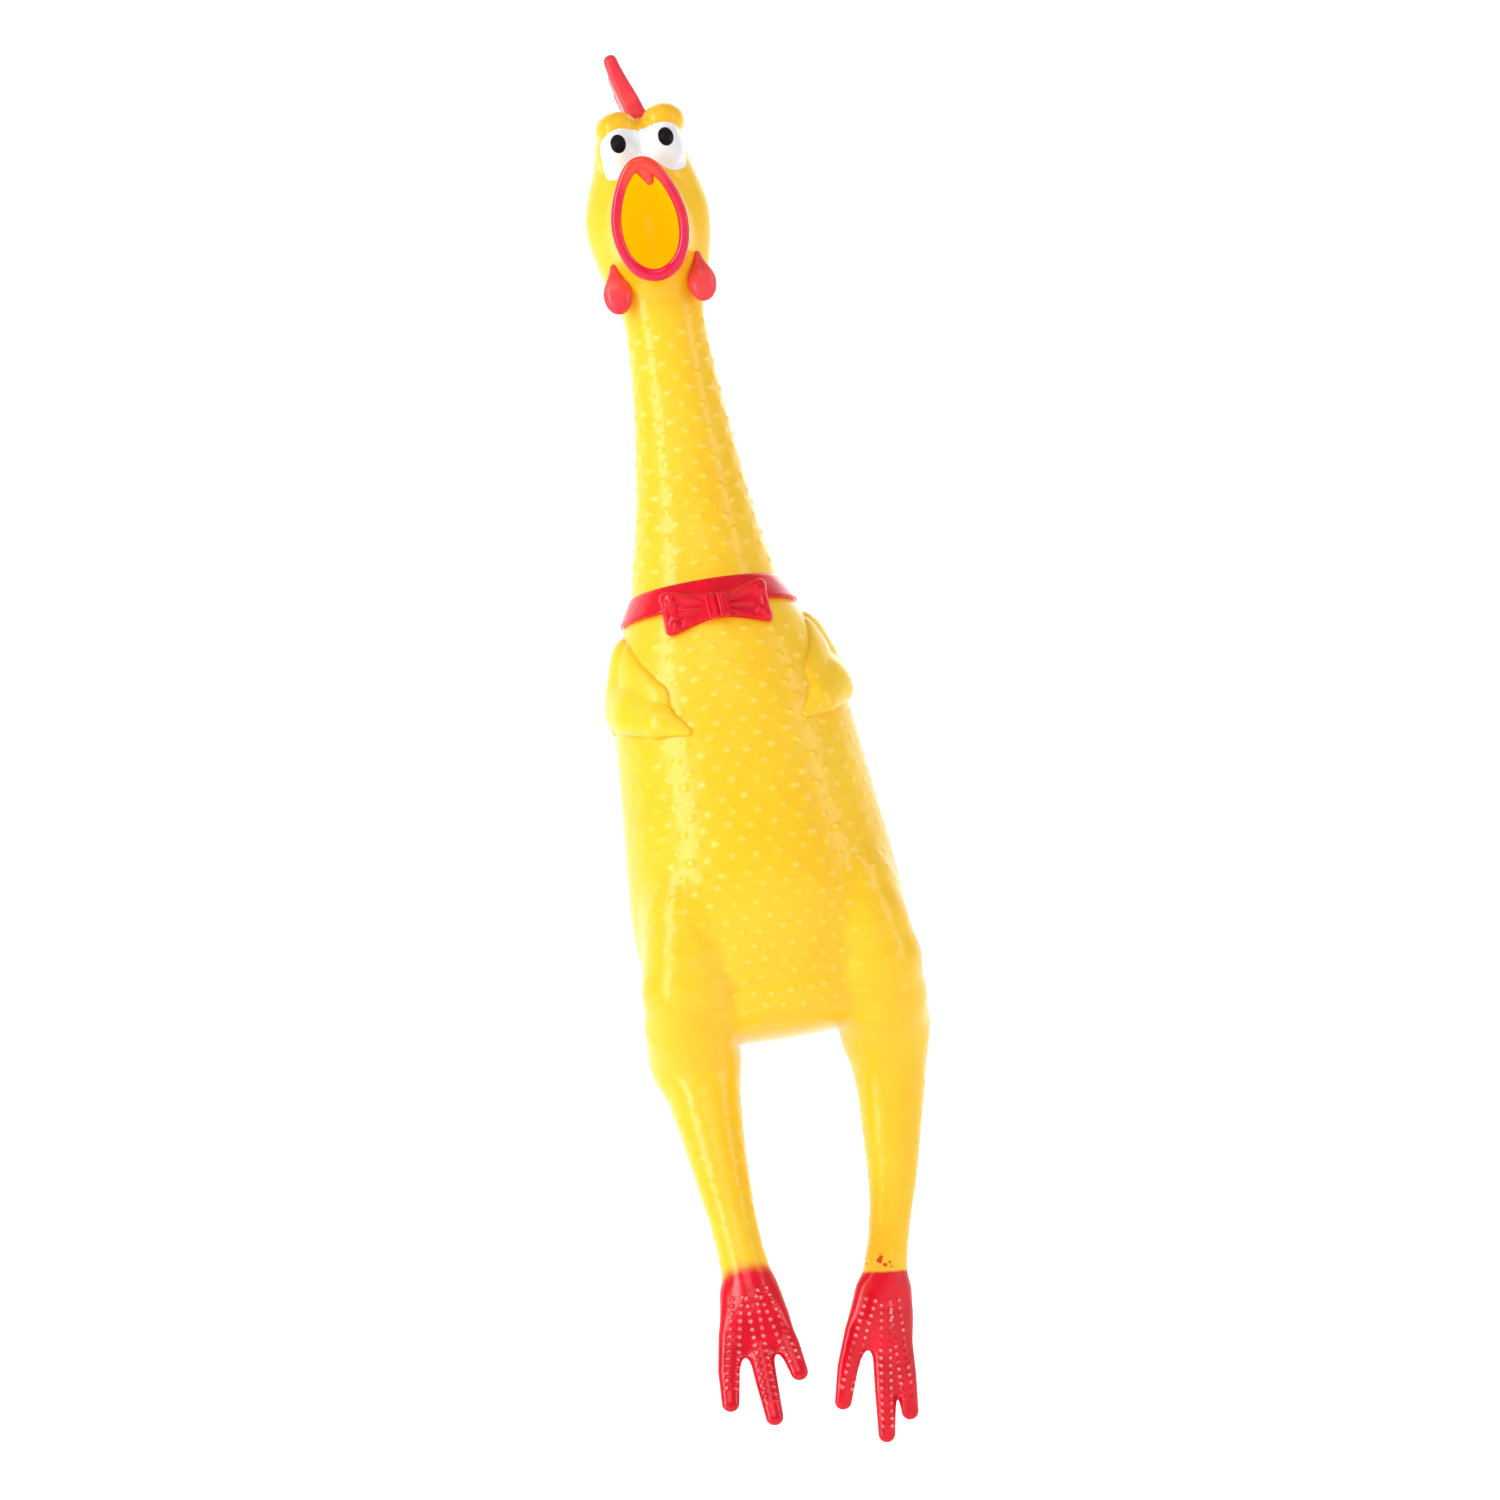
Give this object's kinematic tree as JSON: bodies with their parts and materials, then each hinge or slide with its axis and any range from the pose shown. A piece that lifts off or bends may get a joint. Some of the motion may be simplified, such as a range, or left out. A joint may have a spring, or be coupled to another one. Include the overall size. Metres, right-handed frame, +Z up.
{
  "type": "rubber chicken",
  "caption": "Hollow soft vinyl squeeze toy shaped like a plucked chicken with an open screaming beak, bow tie and dangling red feet.",
  "frame": {"origin": "middle of the torso, where a hand grips it", "axes": "+Z up to the head along the body, -Y out of the belly, +X to the right seen from the front"},
  "size_m": [0.08, 0.0873, 0.403],
  "materials": {
    "yellow_vinyl": "glossy",
    "red_paint": "glossy",
    "coral_vinyl": "satin",
    "white_paint": "glossy",
    "black_paint": "glossy",
    "squeaker_plastic": "matte",
    "reed_film": "matte"
  },
  "bodies": {
    "trunk": {"torso_shell": "yellow_vinyl", "haunch_left": "yellow_vinyl", "haunch_right": "yellow_vinyl", "tail": "yellow_vinyl", "collar": "red_paint", "bow_tie": "red_paint", "bow_knot": "red_paint"},
    "belly": {"belly_panel": "yellow_vinyl"},
    "neck_low": {"neck_lower": "yellow_vinyl"},
    "neck_up": {"neck_upper": "yellow_vinyl", "squeaker_housing": "squeaker_plastic", "squeaker_cap": "squeaker_plastic", "reed_block": "squeaker_plastic"},
    "reed_tongue": {"reed": "reed_film"},
    "head": {"head_shell": "yellow_vinyl", "beak_shell": "yellow_vinyl", "beak_rim": "red_paint", "beak_tip": "red_paint", "eye_left": "white_paint", "eye_right": "white_paint", "pupil_left": "black_paint", "pupil_right": "black_paint"},
    "comb": {"comb": "coral_vinyl"},
    "wattle_left": {"wattle_left": "coral_vinyl"},
    "wattle_right": {"wattle_right": "coral_vinyl"},
    "wing_left": {"wing_left": "yellow_vinyl"},
    "wing_right": {"wing_right": "yellow_vinyl"},
    "thigh_left": {"thigh_left": "yellow_vinyl"},
    "shank_left": {"shank_left": "yellow_vinyl"},
    "foot_left": {"foot_left": "red_paint"},
    "thigh_right": {"thigh_right": "yellow_vinyl"},
    "shank_right": {"shank_right": "yellow_vinyl"},
    "foot_right": {"foot_right": "red_paint"}
  },
  "joints": [
    {"name": "belly_squeeze", "type": "slide", "parent": "trunk", "child": "belly", "axis": [0, 1, 0], "range_m": [0, 0.012], "stiffness_N_per_m": 400},
    {"name": "neck_base_bend", "type": "hinge", "parent": "trunk", "child": "neck_low", "pos_m": [0, 0, 0.076], "axis": [1, 0, 0], "range_deg": [-25, 25], "stiffness_Nm_per_rad": 2},
    {"name": "neck_mid_bend", "type": "hinge", "parent": "neck_low", "child": "neck_up", "pos_m": [0, 0, 0.108], "axis": [0, 1, 0], "range_deg": [-25, 25], "stiffness_Nm_per_rad": 1.2},
    {"name": "reed_flutter", "type": "hinge", "parent": "neck_up", "child": "reed_tongue", "pos_m": [0, -0.0016, 0.1156], "axis": [1, 0, 0], "range_deg": [0, 5], "stiffness_Nm_per_rad": 0.004},
    {"name": "head_nod", "type": "hinge", "parent": "neck_up", "child": "head", "pos_m": [0, 0, 0.143], "axis": [1, 0, 0], "range_deg": [-22, 22], "stiffness_Nm_per_rad": 0.8},
    {"name": "comb_flop", "type": "hinge", "parent": "head", "child": "comb", "pos_m": [0, 0, 0.2032], "axis": [0.0872, 0.9962, 0], "range_deg": [-18, 30], "stiffness_Nm_per_rad": 0.02},
    {"name": "wattle_left_swing", "type": "hinge", "parent": "head", "child": "wattle_left", "pos_m": [-0.01307, -0.0094, 0.1586], "axis": [0.0872, 0.9962, 0], "range_deg": [0, 30], "stiffness_Nm_per_rad": 0.004},
    {"name": "wattle_right_swing", "type": "hinge", "parent": "head", "child": "wattle_right", "pos_m": [0.01124, -0.01152, 0.1586], "axis": [-0.0872, -0.9962, 0], "range_deg": [0, 30], "stiffness_Nm_per_rad": 0.004},
    {"name": "wing_left_lift", "type": "hinge", "parent": "trunk", "child": "wing_left", "pos_m": [-0.0325, -0.0015, 0.04], "axis": [0, 0, -1], "range_deg": [0, 7], "stiffness_Nm_per_rad": 0.05},
    {"name": "wing_right_lift", "type": "hinge", "parent": "trunk", "child": "wing_right", "pos_m": [0.0325, -0.0015, 0.04], "axis": [0, 0, 1], "range_deg": [0, 7], "stiffness_Nm_per_rad": 0.05},
    {"name": "hip_left_swing", "type": "hinge", "parent": "trunk", "child": "thigh_left", "pos_m": [-0.027, 0, -0.06], "axis": [-1, 0, 0], "range_deg": [-53, 3], "stiffness_Nm_per_rad": 0.5},
    {"name": "knee_left_bend", "type": "hinge", "parent": "thigh_left", "child": "shank_left", "pos_m": [-0.02526, -0.0186, -0.09984], "axis": [0.0184, 0.9063, -0.4222], "range_deg": [-25, 25], "stiffness_Nm_per_rad": 0.25},
    {"name": "ankle_left_bend", "type": "hinge", "parent": "shank_left", "child": "foot_left", "pos_m": [-0.02411, -0.03085, -0.1261], "axis": [-0.999, 0, -0.0436], "range_deg": [-25, 25], "stiffness_Nm_per_rad": 0.12},
    {"name": "hip_right_swing", "type": "hinge", "parent": "trunk", "child": "thigh_right", "pos_m": [0.027, 0, -0.06], "axis": [-1, 0, 0], "range_deg": [-28, 28], "stiffness_Nm_per_rad": 0.5},
    {"name": "knee_right_bend", "type": "hinge", "parent": "thigh_right", "child": "shank_right", "pos_m": [0.02202, 0, -0.10372], "axis": [0, 1, 0], "range_deg": [-25, 25], "stiffness_Nm_per_rad": 0.25},
    {"name": "ankle_right_bend", "type": "hinge", "parent": "shank_right", "child": "foot_right", "pos_m": [0.01874, 0, -0.13253], "axis": [-0.9936, 0, 0.1132], "range_deg": [-25, 25], "stiffness_Nm_per_rad": 0.12}
  ]
}
